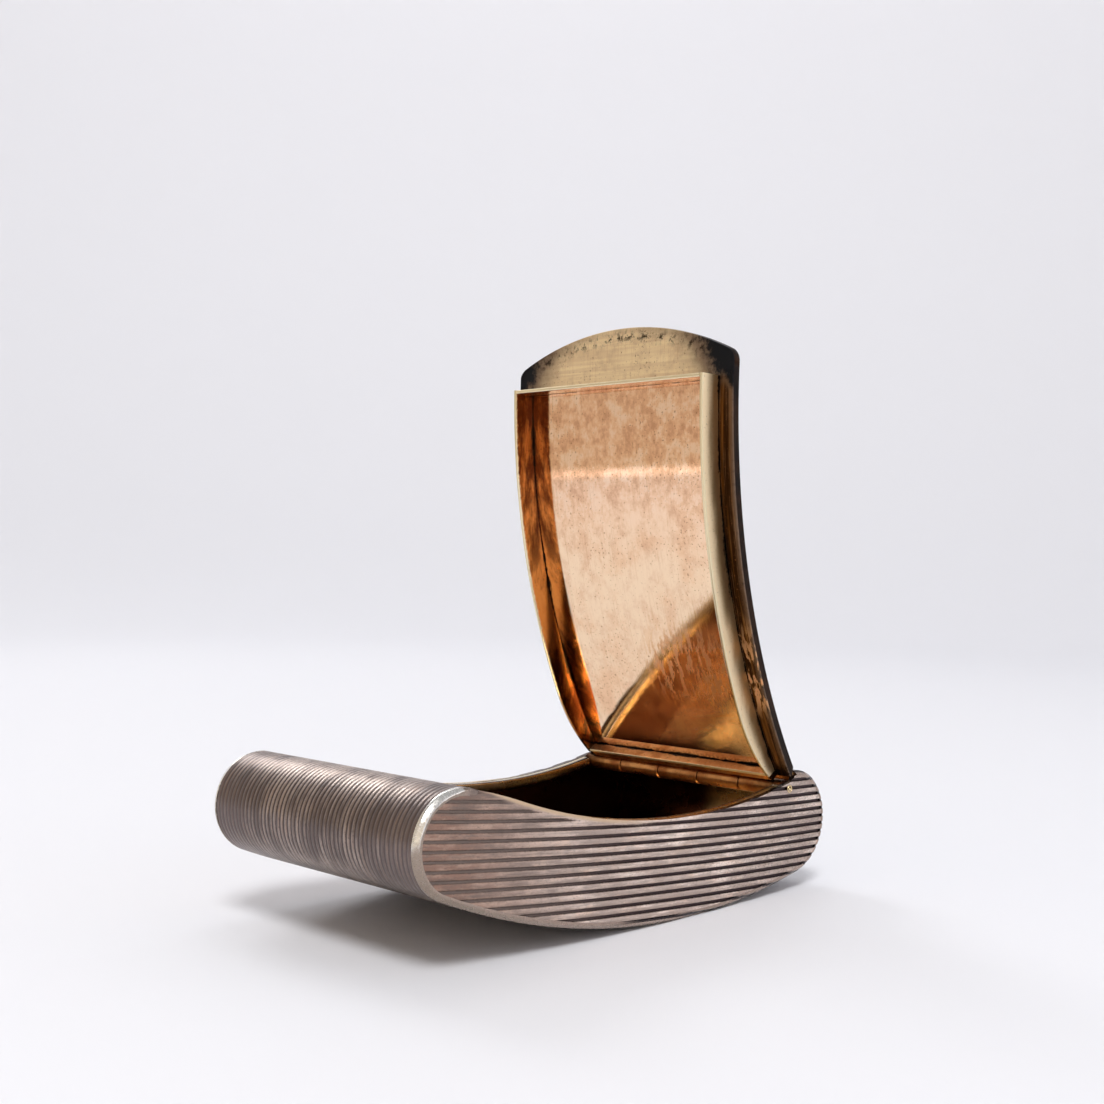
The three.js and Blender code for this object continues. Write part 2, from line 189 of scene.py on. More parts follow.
def sheet(name, front, back, finishes, values, quads=None, **fixing):
    """Two like grids, the front and the back of one sheet, closed by a wall along each edge that only one
    face has. The first finish is the front's, the second the back's and the last the edge's."""
    count = front.shape[0] * front.shape[1]
    if quads is None:
        quads = grid_quads(np.arange(count).reshape(front.shape[:2]))
    starts = quads.ravel()
    ends = np.roll(quads, -1, axis=1).ravel()
    edge = ~np.isin(starts * count + ends, ends * count + starts)
    walls = np.stack([ends[edge], starts[edge], starts[edge] + count, ends[edge] + count], -1)
    faces = np.concatenate([quads, quads[:, ::-1] + count, walls])
    face_finish = np.repeat([0, 1, len(finishes) - 1], [len(quads), len(quads), len(walls)])
    doubled = {key: np.concatenate([value, value]) for key, value in values.items()}
    return piece(name, np.concatenate([front, back]), faces.tolist(), finishes=finishes,
                 face_finish=face_finish, values=doubled, **fixing)


def add(tree, kind, feeds=None, **settings):
    """A new node with its settings, and with named inputs set to a value or linked to another's output."""
    made = tree.nodes.new(kind)
    for key, value in settings.items():
        setattr(made, key, value)
    for key, feed in (feeds or {}).items():
        if isinstance(feed, bpy.types.NodeSocket):
            tree.links.new(feed, made.inputs[key])
        else:
            made.inputs[key].default_value = feed
    return made


def noise(tree, vector, scale, detail, roughness):
    """Cloudy values about one half, with a finer and fainter layer for each step of detail."""
    feeds = {"Vector": vector, "Scale": scale, "Detail": detail, "Roughness": roughness}
    return add(tree, "ShaderNodeTexNoise", feeds).outputs["Fac"]


def stretched(tree, vector, scale):
    """Coordinates multiplied by a scale for each axis, so that a noise on them runs as streaks."""
    return add(tree, "ShaderNodeMapping", {"Vector": vector, "Scale": scale}).outputs["Vector"]


def ramp(tree, value, low, high, to_low=0.0, to_high=1.0):
    """One result where the value is low, another where it is high, and a smooth cubic between them."""
    feeds = {"Value": value, "From Min": low, "From Max": high, "To Min": to_low, "To Max": to_high}
    return add(tree, "ShaderNodeMapRange", feeds, interpolation_type="SMOOTHSTEP").outputs["Result"]


def times(tree, first, second, operation="MULTIPLY"):
    """The product of two values, or their sum or difference where the operation says so."""
    return add(tree, "ShaderNodeMath", {0: first, 1: second}, operation=operation).outputs[0]


def mix(tree, factor, first, second):
    """One colour where the factor is 0 and another where it is 1."""
    feeds = {0: factor}
    for socket, colour in ((6, first), (7, second)):
        feeds[socket] = colour if isinstance(colour, bpy.types.NodeSocket) else (*colour, 1)
    return add(tree, "ShaderNodeMix", feeds, data_type="RGBA").outputs[2]


def darkened(colour, share):
    """Each part of a colour times that share."""
    return tuple(share * part for part in colour)


def attribute(tree, name, output="Fac"):
    """A point attribute of the piece that has the finish."""
    return add(tree, "ShaderNodeAttribute", attribute_name=name).outputs[output]


def metal(name):
    """A new material and its node tree, with an all-metal shader."""
    made = bpy.data.materials.new(name)
    made.use_nodes = True
    made.node_tree.nodes["Principled BSDF"].inputs["Metallic"].default_value = 1
    return made, made.node_tree


def wire_up(tree, colour, roughness, height, depth):
    """Feeds the shader its colour and roughness, and a bump of that many metres."""
    shader = tree.nodes["Principled BSDF"]
    tree.links.new(colour, shader.inputs["Base Color"])
    tree.links.new(roughness, shader.inputs["Roughness"])
    bump = add(tree, "ShaderNodeBump", {"Height": height, "Distance": depth, "Strength": 1.0})
    tree.links.new(bump.outputs["Normal"], shader.inputs["Normal"])


def aged_silver(name, crest, blotch, groove, warm, worn, roughness):
    """Oxidised silver: pale crests and dark grooves, after the crest attribute. Tarnish lies in streaks
    and specks that follow the reeds along the first axis of the grain attribute, and warm copper tints
    show where the skin is thin. Where the wear attribute is high, the worn colour takes over, with fewer
    tints, darker stains, and grooves about as dark as these; on the band that attribute also carries a
    painted sheen on the upward shoulders. The gilt attribute lets the gilding of the rim show."""
    made, tree = metal(name)
    grain = attribute(tree, "grain", "Vector")
    wear = attribute(tree, "wear")
    cloud = noise(tree, stretched(tree, grain, (0.10, 0.22, 1)), 1.0, 5.0, 0.65)
    streak = noise(tree, stretched(tree, grain, (0.16, 1.9, 1)), 1.0, 5.0, 0.68)
    speck = noise(tree, stretched(tree, grain, (0.55, 1, 1)), 4.2, 4.0, 0.72)
    tint = noise(tree, stretched(tree, grain, (0.3, 1, 1)), 0.8, 5.0, 0.7)
    thin = times(tree, ramp(tree, tint, 0.44, 0.66, 0.0, 0.8), ramp(tree, wear, 0.0, 1.0, 1.0, 0.4))
    skin = mix(tree, thin, mix(tree, wear, crest, worn), warm)
    stain = mix(tree, wear, blotch, darkened(blotch, 0.45))
    tarnish = times(tree, cloud, streak, "ADD")
    tarnish = times(tree, tarnish, ramp(tree, wear, 0.0, 1.0, 0.10, -0.06), "ADD")
    skin = mix(tree, ramp(tree, tarnish, 0.84, 1.18, 0.0, 0.85), skin, stain)
    skin = mix(tree, ramp(tree, speck, 0.53, 0.72, 0.0, 0.75), skin, stain)
    dirt = times(tree, attribute(tree, "crest"), ramp(tree, speck, 0.2, 0.8, 0.2, -0.2), "ADD")
    dirt = times(tree, dirt, ramp(tree, wear, 0.0, 1.0, -0.04, 0.08), "ADD")
    floor = mix(tree, wear, groove, darkened(blotch, 0.4))
    skin = mix(tree, ramp(tree, dirt, 0.1, 0.9), floor, skin)
    skin = mix(tree, attribute(tree, "gilt"), skin, rim_gilding)
    rough = ramp(tree, speck, 0.25, 0.75, roughness - 0.08, roughness + 0.1)
    wire_up(tree, skin, rough, speck, skin_bump)
    return made


def tarnished_gilt(name, gold, stain, roughness):
    """Gilding that has gone dull: a clouded stain over the gold, brown specks and fine wear. Where the
    depth attribute is high it is nearly black, with old snuff and with painted shade deep in the tray, in
    hollows and under the rails."""
    made, tree = metal(name)
    place = add(tree, "ShaderNodeTexCoord").outputs["Object"]
    cloud = noise(tree, place, 190.0, 4.0, 0.6)
    speck = noise(tree, place, 1900.0, 3.0, 0.65)
    skin = mix(tree, ramp(tree, cloud, 0.35, 0.68), gold, stain)
    skin = mix(tree, ramp(tree, speck, 0.62, 0.74, 0.0, 0.8), skin, darkened(stain, 0.3))
    deep = times(tree, attribute(tree, "depth"), ramp(tree, cloud, 0.3, 0.7, -0.06, 0.06), "ADD")
    skin = mix(tree, ramp(tree, deep, 0.06, 0.9), skin, snuff_and_shade)
    rough = ramp(tree, cloud, 0.3, 0.7, roughness - 0.06, roughness + 0.1)
    wire_up(tree, skin, rough, speck, skin_bump)
    return made


def soft_step(value, low, high):
    """0 up to the low value and 1 from the high one, with a smooth cubic between them."""
    share = np.clip((value - low) / (high - low), 0, 1)
    return share * share * (3 - 2 * share)


def fade(value, low, high):
    """1 up to the low value and 0 from the high one, with the same cubic."""
    return soft_step(-value, -high, -low)


def reeds(across, pitch, depth, groove_share):
    """How far a reeded face lies below its crests, and the share of the way up to the crest. Reeds are
    flat, and the groove between two of them is a smooth step down to a narrow floor."""
    swing = np.abs(2 * np.mod(across / pitch, 1) - 1)
    up = 1 - soft_step(swing, 1 - groove_share, 1 - groove_floor * groove_share)
    return depth * (1 - up), up


band_silver = aged_silver("band_silver", crest=(0.23, 0.183, 0.165), blotch=(0.17, 0.132, 0.124),
                          groove=(0.14, 0.112, 0.108), warm=(0.36, 0.25, 0.195), worn=(0.58, 0.475, 0.415),
                          roughness=0.34)
tray_gilt = tarnished_gilt("tray_gilt", gold=(0.92, 0.69, 0.35), stain=(0.84, 0.57, 0.25), roughness=0.27)


def front_edge(radius):
    """Heading on a circle about the front end's centre at which the mouth's front edge lies."""
    span = abs(front_centre - hinge)
    cosine = (span**2 + radius**2 - mouth_reach**2) / (2 * span * radius)
    return heading_of(hinge - front_centre) + np.arccos(cosine) - 2 * np.pi


mitre = np.exp(1j * radians(45)) * np.exp(1j * heading_of(hinge))


def mitre_on_rear(radius):
    """Where the 45 degree mitre through the hinge axis meets a circle about the rear end's centre."""
    offset = hinge - rear_centre
    half = (offset * np.conj(mitre)).real
    return hinge + mitre * (np.sqrt(half**2 - abs(offset) ** 2 + radius**2) - half)


def mitre_heading(inset):
    """Heading about the rear end's centre at which that mitre cuts a line set in by a distance."""
    return heading_of(mitre_on_rear(rear_end - inset) - rear_centre) + 2 * np.pi


def bent_strip(inset, front_heading, rear_heading, rows=(44, 40, 36)):
    """Side view of the bend, set in by a distance: an arc round the front end, the bottom, and an arc
    round the rear end. Where it would pass below the flat that the box rests on, it follows the flat."""
    front = front_centre + (front_end - inset) * heading(np.linspace(front_heading, front_angle, rows[0]))
    swing = np.linspace(front_angle, rear_angle, rows[1])
    bottom = np.minimum(bottom_radius, floor_drop / np.cos(swing - rest_tilt)) - inset
    rear = rear_centre + (rear_end - inset) * heading(np.linspace(rear_angle, rear_heading, rows[2]))
    return np.concatenate([front[:-1], bottom * heading(swing), rear[1:]])


def band_line(inset):
    """The bend from the mouth's front edge round to the mitre at the hinge."""
    return bent_strip(inset, front_edge(front_end - inset), mitre_heading(inset))


band_across = (np.arange(band_reeds)[:, None] + band_phases).ravel() / band_reeds
band_y = np.append(band_across, 1) * 2 * band_half - band_half
relief, band_crest = reeds(band_y + band_half, 2 * band_half / band_reeds, band_reed_depth, band_groove)
line = band_line(0)
inner = band_line(band_wall)
run = np.gradient(line)
facing_up = (-1j * run / np.abs(run)).imag[:, None]  # -1 underneath and 1 on top
uncut = 1 - (1 - worn_above) * soft_step(facing_up, 0.6, 0.95)
cut = worn_under + (1 - worn_under) * soft_step(facing_up, -0.9, -0.3) * uncut
share = relief / band_wall * cut
outer_side = line[:, None] * (1 - share) + inner[:, None] * share
along_band = np.concatenate([[0], np.cumsum(np.abs(np.diff(line)))])
band_wear = middle_wear * fade(np.abs(band_y), rubbed_half, band_half)
band_values = {
    "crest": 1 - (1 - band_crest) * cut,
    "grain": np.stack(np.broadcast_arrays(along_band[:, None], band_y, 0.0), -1),
    # the upward shoulders take the pale worn colour as a painted sheen
    "wear": band_wear + shoulder_sheen * soft_step(facing_up, 0.35, 0.85),
    "depth": soft_step(inner.real[:, None], *snuff_and_shade_span) * soft_step(band_y, -snuff_and_shade_half, snuff_and_shade_half),
}
sheet("body_strip", stood(outer_side, band_y), stood(inner[:, None], band_y), body="box",
      slot="reeded_silver", replaced=["body_band"], finishes=[band_silver, tray_gilt, tray_gilt],
      values=band_values)

# Side plates
# Two silver plates that close the sides, with broad flat reeds along them and black tarnish in the
# grooves. Their inner faces are gilt, painted nearly black as shade inside the tray. The rim cuts the
# upper reeds in two, so a plate is a front half and a rear half.
plate_face = 20.05  # from the middle plane, a little below the border's face
plate_wall = 0.85
plate_inset = 0.62  # from the box's outside to the plate, whose edge the border covers
reed_pitch = 1.14
reed_depth = 0.28
reed_groove = 0.5  # share of the pitch
reed_phases = np.array([0, 0.085, 0.13, 0.17, 0.21, 0.255, 0.5, 0.745, 0.79, 0.83, 0.87, 0.915])
reeds_above = 3  # more reeds than the plate holds, counted up and down from its front crest
reeds_below = 18
reed_sag = 0.9  # of a reed's middle below its ends
reed_rise = 0.013  # of a reed towards the rear, for each unit of length
cap_inset = 0.3  # at the top of the front end
shoulder = 7  # length over which the rim runs down to the front crest
plate_columns = 48
worn_length = 36  # from the middle to the front, over which wear sets in
worn_relief = 0.5  # share of the reeds' depth that it takes
plain_end = (-8, 4)  # along the box, over which the plain strip under the rim comes to an end
plain_depth = (0.4, 0.9)  # below the rim, over which it gives way to the reeds
gilt_end = (-10, 4)  # the same for the gilding on it
gilt_depth = (0.2, 0.6)
tarnish_length = 30  # from the middle to the rear, over which the plate darkens
tarnish_spread = 1.5  # added to the power that spreads the grooves' black up their sides
tarnish_tone = 0.27  # share of the crests' brightness that is then lost
wall_snuff_and_shade = 0.8  # how dark old snuff and painted shade make the inner faces towards the rear
wall_snuff_and_shade_span = (2, 20)  # along the tray, over which it sets in
side_layer = 9.0  # third axis of the grain, which gives each side its own tarnish

side_silver = aged_silver("side_silver", crest=(0.95, 0.81, 0.72), blotch=(0.44, 0.345, 0.30),
                          groove=(0.062, 0.043, 0.043), warm=(0.80, 0.59, 0.47), worn=(0.31, 0.19, 0.145),
                          roughness=0.42)
# The inner faces' gilding is painted nearly black: painted shade inside the tray.
shaded_wall_gilt = tarnished_gilt("shaded_wall_gilt", gold=(0.10, 0.041, 0.016), stain=(0.07, 0.026, 0.011), roughness=0.3)
rim_gilt = tarnished_gilt("rim_gilt", gold=(0.92, 0.78, 0.52), stain=(0.66, 0.46, 0.24), roughness=0.25)


def sag(x):
    """How far a reed lies below a level line: a parabola along it, less a steady rise to the rear."""
    return reed_sag * (1 - (2 * x / body_length) ** 2) - reed_rise * x


def rim_line(angles, depth=0.0):
    """The rim, or a line below it. Near the front its radius grows with the square of the share of the
    shoulder."""
    near_front = np.clip(1 - (angles - front_angle) * rim_radius / shoulder, 0, 1)
    return (rim_radius + depth + front_drop * near_front**2) * heading(angles)


def rising(points):
    """An edge of the plate as x against height in the reeds' own measure, kept where that height rises."""
    level = points.imag + sag(points.real)
    higher = level > np.maximum.accumulate(np.append(-np.inf, level[:-1]))
    return level[higher], points.real[higher]


mitre_foot = hinge + mitre * np.sqrt(2) * (abs(hinge) - rim_radius)
rim = rim_line(np.linspace(heading_of(mitre_foot), front_angle, 400))
lowest = np.argmin(rim.imag + sag(rim.real))
outline = bent_strip(plate_inset, -np.pi, np.pi, rows=(120, 400, 120))
bottom_point = np.argmin(outline.imag + sag(outline.real))
cap_circle = front_end - np.linspace(0, cap_inset, 20)
front_cap = front_centre + cap_circle * heading(np.linspace(front_angle - np.pi, -np.pi, 20))
cap_turn = np.linspace(mitre_heading(plate_inset), np.pi, 12)
rear_cap = rear_centre + (rear_end - plate_inset) * heading(cap_turn)
front_outside = rising(np.append(outline[bottom_point::-1], front_cap[-1]))
front_rim = rising(np.concatenate([rim[lowest:], front_cap[1:]]))
rear_outside = rising(outline[bottom_point:])
rear_rim = rising(np.concatenate([rim[lowest::-1], rear_cap]))
mouth_level = front_rim[0][0]
reed_top = -rim_radius * np.cos(front_angle) + reed_pitch
reed_numbers = np.arange(-reeds_above, reeds_below)[:, None]
reed_levels = reed_top - reed_pitch * (reed_numbers + reed_phases)


def plate_half(outside, rim_edge):
    """Rows along the reeds: at each level x runs from the outside to the rim, or below the mouth's lowest
    level to one cut across the plate."""
    inside = (reed_levels > outside[0][0]) & (reed_levels < outside[0][-1])
    levels = np.unique(np.append(reed_levels[inside], [outside[0][0], outside[0][-1], mouth_level]))
    far = np.interp(levels, *outside)[:, None]
    near = np.interp(levels, *rim_edge)[:, None]
    x = far + (near - far) * np.linspace(0, 1, plate_columns)
    return x + 1j * (levels[:, None] - sag(x)), np.searchsorted(levels, mouth_level) + 1


front_half, shared_rows = plate_half(front_outside, front_rim)
rear_half, _ = plate_half(rear_outside, rear_rim)
front_index = np.arange(front_half.size).reshape(front_half.shape)
rear_index = front_half.size + np.arange(rear_half.size).reshape(rear_half.shape)
rear_index[:shared_rows, -1] = front_index[:shared_rows, -1]
plate_quads = np.concatenate([grid_quads(front_index), grid_quads(rear_index[:, ::-1])])
plate_side = np.concatenate([front_half.ravel(), rear_half.ravel()])[None, :]
plate_level = plate_side.imag + sag(plate_side.real)
below_rim = np.abs(plate_side) - rim_radius
plate_relief, plate_crest = reeds(reed_top - plate_level, reed_pitch, reed_depth, reed_groove)
plate_wear = fade(plate_side.real, -worn_length, 0)
plain_rim = fade(plate_side.real, *plain_end) * fade(below_rim, *plain_depth)
plate_relief = plate_relief * (1 - worn_relief * plate_wear) * (1 - plain_rim)
rear_tarnish = soft_step(plate_side.real, 0, tarnish_length)
plate_crest = np.maximum(plate_crest, plain_rim) ** (1 + tarnish_spread * rear_tarnish)
plate_values = {
    "crest": plate_crest * (1 - tarnish_tone * rear_tarnish),
    "wear": plate_wear,
    "depth": wall_snuff_and_shade * soft_step(plate_side.real, *wall_snuff_and_shade_span),
    "gilt": fade(plate_side.real, *gilt_end) * fade(below_rim, *gilt_depth),
}
hands = (("right", -1), ("left", 1))
for hand, sign in hands:
    plate_grain = np.stack(np.broadcast_arrays(plate_side.real, plate_level, side_layer * sign), -1)
    sheet(f"side_panel_{hand}", stood(plate_side, sign * (plate_face - plate_relief)),
          stood(plate_side, sign * (plate_face - plate_wall)), quads=plate_quads, body="box",
          slot="reeded_silver", replaced=[f"side_plate_{hand}"], finishes=[side_silver, shaded_wall_gilt, rim_gilt],
          values={**plate_values, "grain": plate_grain})

# Border wires
# A plain silver wire soldered along the corner between each side and the band, filed to a bright slanting
# face that hands have rubbed. It runs from the front crest, where that face runs out, round the bottom to
# the mitre at the hinge. It is paler towards the front, where it is rubbed, and towards the top, where the
# paleness is a painted highlight.
border_face = 20.1  # from the middle plane
border_width = 0.9
border_notch = 0.12  # depth to which the side's grooves run out over the rear of the wire
border_section = np.array([[0.9, 0.02], [0.66, 0], [0.54, 0.03], [0.44, 0.1], [0.1, 0.44], [0.03, 0.54],
                           [0, 0.66], [0, 0.88], [0.9, 0.88]])  # in from the band and from the side
border_back = 0.8  # only the section's sizes below this shrink where the slanting face runs out
border_fade = 4  # length over which its slanting face runs out towards the front crest
border_left = 0.15  # share of the face that is left there
border_rows = (60, 160, 180)
rubbed_front = (-38, -8)  # along the box, over which the rubbing of the front ends
sheen_height = (-106, -101)  # from the centre of curvature, over which a painted highlight grows upwards
front_share = 0.55  # the front's part, which is rubbing, and the rest is the height's, which is a painted highlight
rubbed_start = (0.4, 3)  # from the front crest, over which it sets in
plain_wire = (-12, 4)  # along the box, over which the side's grooves come out onto the wire
crest_dirt = 0.45  # how dark the wire is at the front crest
crest_dirt_run = (0.8, 3.2)  # from the crest, over which that ends
scratch_bump = 0.000006  # metres


def rubbed_silver(name, bright, cream, reed, groove, roughness):
    """Plain silver: bright where the rub_and_sheen attribute is high, which holds rubbing and a painted
    highlight, then cream with brown patches, and where it is low as dark as the reeds beside it, with their
    grooves after the crest attribute."""
    made, tree = metal(name)
    place = add(tree, "ShaderNodeTexCoord").outputs["Object"]
    cloud = noise(tree, place, 420.0, 4.0, 0.65)
    scratch = noise(tree, place, 2600.0, 3.0, 0.7)
    rub_and_sheen = times(tree, attribute(tree, "rub_and_sheen"), ramp(tree, cloud, 0.3, 0.7, 0.14, -0.14), "ADD")
    aged = mix(tree, ramp(tree, attribute(tree, "crest"), 0.1, 0.9), groove, reed)
    skin = mix(tree, ramp(tree, rub_and_sheen, 0.1, 0.5), aged, cream)
    skin = mix(tree, ramp(tree, rub_and_sheen, 0.6, 0.95), skin, bright)
    rough = ramp(tree, scratch, 0.3, 0.7, roughness - 0.06, roughness + 0.1)
    wire_up(tree, skin, rough, scratch, scratch_bump)
    return made


def tube(name, grid, finish, body, slot, replaced, closed=False, caps=True, values=None):
    """A closed section, one row of the grid, carried along a path. The ends are capped, or the path closes
    on itself."""
    index = np.arange(grid.shape[0] * grid.shape[1]).reshape(grid.shape[:2])
    around = np.append(index, index[:, :1], axis=1)
    faces = grid_quads(np.append(around, around[:1], axis=0) if closed else around).tolist()
    if caps and not closed:
        faces += [index[0].tolist(), index[-1].tolist()]
    return piece(name, grid, faces, body, slot, replaced, [finish], values=values)


border_silver = rubbed_silver("border_silver", bright=(0.86, 0.83, 0.79), cream=(0.34, 0.275, 0.225),
                              reed=(0.40, 0.31, 0.26), groove=(0.04, 0.032, 0.034), roughness=0.22)
border_outer = bent_strip(0, front_angle - np.pi, mitre_heading(0), border_rows)[:, None]
border_inner = bent_strip(border_width, front_angle - np.pi, mitre_heading(0), border_rows)[:, None]
border_run = np.append(0, np.cumsum(np.abs(np.diff(border_outer[:, 0]))))[:, None]
slanted = border_left + (1 - border_left) * soft_step(border_run, 0, border_fade)
section_in, section_down = border_section.T
border_inset = section_in * np.where(section_in < border_back, slanted, 1)
border_fall = section_down * np.where(section_down < border_back, slanted, 1)
border_side = border_outer + (border_inner - border_outer) * border_inset / border_width
border_rub_and_sheen = front_share * fade(border_side.real, *rubbed_front)
border_rub_and_sheen = border_rub_and_sheen + (1 - front_share) * soft_step(border_side.imag, *sheen_height)
border_rub_and_sheen = border_rub_and_sheen * (border_side.real < 0) * (0.5 + 0.5 * fade(section_in, 0.5, 0.75))
border_rub_and_sheen = border_rub_and_sheen * soft_step(border_run, *rubbed_start)
border_level = border_side.imag + sag(border_side.real)
_, border_crest = reeds(reed_top - border_level, reed_pitch, reed_depth, reed_groove)
border_crest = np.maximum(border_crest, fade(border_side.real, *plain_wire))
border_crest = border_crest * (1 - crest_dirt * fade(border_run, *crest_dirt_run))
notch = border_notch * (1 - border_crest) * (1 - border_rub_and_sheen) * (section_down < border_width / 2)
for hand, sign in hands:
    tube(f"border_{hand}", stood(border_side, sign * (border_face - border_fall - notch)), border_silver,
         body="box", slot="plain_silver", replaced=[f"border_wire_{hand}"],
         values={"rub_and_sheen": border_rub_and_sheen, "crest": border_crest})

# Rim rails
# Gilt strips soldered inside the mouth that stiffen the sides and the front edge. The lid's bezel slides
# past them. Old snuff and painted shade darken the side rails' inner edges and undersides.
rail_wall = 1.3
rail_depth = 1.6
rail_setback = 2.4  # from the front end's centre to the side rails' front ends
rail_corner = 0.22
rail_snuff_and_shade = 0.85  # how dark the snuff and painted shade make them
knuckle_reach = 1.45  # from the hinge axis to what stands clear of the knuckles
front_rail_inset = 0.7
front_rail_width = 1.6
front_rail_depth = 1.0


def rounded_section(width, height, radius, steps=5):
    """A rectangle from the origin with a quarter circle at each corner, as across and up."""
    turn = np.linspace(0, np.pi / 2, steps) + np.arange(4)[:, None] * np.pi / 2
    across = np.array([width - radius, radius, radius, width - radius])[:, None] + radius * np.cos(turn)
    up = np.array([height - radius, height - radius, radius, radius])[:, None] + radius * np.sin(turn)
    return across.ravel(), up.ravel()


hinge_angle = heading_of(hinge)
lid_rear = hinge_angle - knuckle_reach / rim_radius  # where the side rails end, and the lid's inner face
rail_angles = np.linspace(lid_rear, front_angle + rail_setback / rim_radius, 60)[:, None]
across, down = rounded_section(rail_wall, rail_depth, rail_corner)
rail_side = rim_line(rail_angles, down)
inner_edge = soft_step(across, 0.3, 0.8) * fade(down, 0, 0.2)
rail_snuff_and_shade_mask = rail_snuff_and_shade * (inner_edge + soft_step(down, 0.9, 1.4)) + 0 * rail_angles
for hand, sign in hands:
    tube(f"mouth_rail_{hand}", stood(rail_side, sign * (band_half - across)), rim_gilt, body="box",
         slot="bright_gilt", replaced=[f"rim_rail_{hand}"], values={"depth": rail_snuff_and_shade_mask})

across, down = rounded_section(front_rail_width, front_rail_depth, rail_corner)
rail_circle = front_end - front_rail_inset - down
front_rail_side = front_centre + rail_circle * heading(front_edge(rail_circle) + across / rail_circle)
both_ends = np.array([-1, 1])[:, None]
tube("mouth_rail_front", stood(front_rail_side, both_ends * (band_half - rail_wall)), rim_gilt, body="box",
     slot="bright_gilt", replaced=["rim_rail_front"])

# Hinge bearer
# A gilt bar soldered behind the knuckles, under the band's rear edge. The body's knuckles are soldered to
# it, and its edges are filed.
bearer_width = 1.5
bearer_depth = 0.6  # below the hinge axis
bearer_seam = 0.05
bearer_edge = 0.08
to_rear = np.exp(1j * hinge_angle)
to_lid = -heading(hinge_angle)

hinge_gilt = tarnished_gilt("hinge_gilt", gold=(0.78, 0.40, 0.16), stain=(0.36, 0.13, 0.042), roughness=0.3)


def under_band(rear):
    """The point above the bar's lower edge, that far behind the hinge axis, which touches the inside of
    the band."""
    start = hinge + to_rear * rear - to_lid * bearer_depth
    offset = start - rear_centre
    half = (offset * np.conj(to_lid)).real
    circle = rear_end - band_wall - bearer_seam
    return start + to_lid * (np.sqrt(half**2 - abs(offset) ** 2 + circle**2) - half)


bearer_far = knuckle_reach + bearer_width
bearer_side = np.array([
    hinge + to_rear * knuckle_reach - to_lid * bearer_depth,
    hinge + to_rear * bearer_far - to_lid * bearer_depth,
    under_band(bearer_far),
    under_band((knuckle_reach + bearer_far) / 2),
    mitre_on_rear(rear_end - band_wall - bearer_seam),
    hinge + (to_rear + to_lid) * knuckle_reach,
])
bearer = tube("hinge_bar", stood(bearer_side, both_ends * band_half), hinge_gilt, body="box",
              slot="dark_gilt", replaced=["hinge_bearer"])
bearer_bevel = bearer.modifiers.new("filed_edges", "BEVEL")
bearer_bevel.width = bearer_edge * MM
bearer_bevel.segments = 2

# Hinge
# Five gilt tubes in a row on one silver pin, three on the body and two on the lid, with hairline gaps
# between them, and the row's two outer ends black with old snuff. Small gold plugs, a disc inside a ring,
# close the pin's holes in the sides.
knuckle_radius = 1.25
knuckle_count = 5
knuckle_gap = 0.2
knuckle_bore = 0.62
knuckle_break = 0.1  # chamfer at the tubes' ends
knuckle_snuff = 0.85  # how dark the row's two outer ends are
plug_profile = np.array([[0, 20.1], [0.2, 20.09], [0.25, 20.03], [0.35, 20.03], [0.4, 20.1], [0.54, 20.1],
                         [0.58, 20.03], [0.65, 20.03], [0.65, 19.25], [0, 19.25]])  # radius and y
plug_face_level = 20.05  # from the middle plane, and what lies lower, in the grooves and the hole, is painted black as shade
round_turn = np.linspace(0, 2 * np.pi, 40, endpoint=False)


def turned(radius, y, on_lid=False):
    """A profile of radius and y turned about the hinge axis: one row for each point of the profile."""
    return stood(hinge + radius[:, None] * heading(round_turn), y[:, None], on_lid)


knuckle_length = (2 * band_half - (knuckle_count - 1) * knuckle_gap) / knuckle_count
tube_end = np.array([knuckle_bore, knuckle_radius - knuckle_break, knuckle_radius])
knuckle_profile = np.concatenate([tube_end, tube_end[::-1]])
end_steps = np.array([0, 0, knuckle_break])
for number in range(1, knuckle_count + 1):
    low = -band_half + (number - 1) * (knuckle_length + knuckle_gap)
    body = "lid" if number % 2 == 0 else "box"
    reach = np.concatenate([low + end_steps, low + knuckle_length - end_steps[::-1]])
    name = "lid" if body == "lid" else "body"
    outermost = np.repeat([number == 1, number == knuckle_count], len(tube_end))[:, None]
    tube(f"{name}_tube_{number}", turned(knuckle_profile, reach, body == "lid"), hinge_gilt, body=body,
         slot="dark_gilt", replaced=[f"{name}_knuckle_{number}"], closed=True,
         values={"depth": knuckle_snuff * outermost + 0 * round_turn})

plug_gold = tarnished_gilt("plug_gold", gold=(0.74, 0.57, 0.31), stain=(0.46, 0.31, 0.15), roughness=0.3)
# The plugs' grooves and hole take the nearly black colour as painted shade.
plug_groove_shade = (plug_profile[:, 1:] < plug_face_level) + 0 * round_turn
for hand, sign in hands:
    tube(f"plug_{hand}", turned(plug_profile[:, 0], sign * plug_profile[:, 1]), plug_gold, body="box",
         slot="bright_gilt", replaced=[f"pin_plug_{hand}"], caps=False, values={"depth": plug_groove_shade})
frame["nodes"]["hinge_pin"].data.materials.clear()
frame["nodes"]["hinge_pin"].data.materials.append(border_silver)

